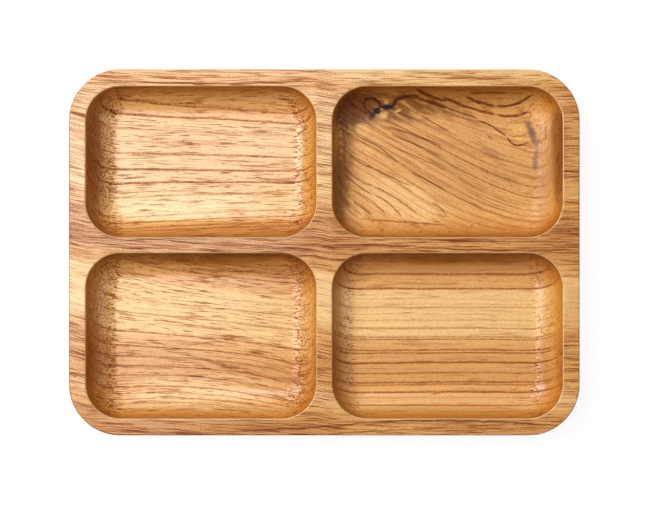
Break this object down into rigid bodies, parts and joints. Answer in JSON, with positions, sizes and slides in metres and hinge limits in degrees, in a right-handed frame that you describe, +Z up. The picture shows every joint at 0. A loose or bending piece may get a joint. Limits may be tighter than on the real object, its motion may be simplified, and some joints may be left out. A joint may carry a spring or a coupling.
{
  "type": "divided serving tray",
  "caption": "Rectangular wooden serving tray with round corners, edge-glued from staves and carved into side-by-side food compartments with coved walls and flat floors.",
  "frame": {"origin": "middle of the flat base, on the surface that the tray stands on", "axes": "+X along the length and the grain, +Y across the grain to the back edge, +Z up out of the compartments"},
  "size_m": [0.3, 0.215, 0.024],
  "materials": {
    "oiled_wood": "sanded and oiled, satin",
    "wood_glue": "cured, sanded flush"
  },
  "bodies": {
    "root": {"front_edge_stave": "oiled_wood", "glue_line_1": "wood_glue", "front_pocket_stave": "oiled_wood", "glue_line_2": "wood_glue", "middle_stave": "oiled_wood", "glue_line_3": "wood_glue", "back_pocket_stave": "oiled_wood", "glue_line_4": "wood_glue", "back_edge_stave": "oiled_wood"}
  },
  "joints": []
}
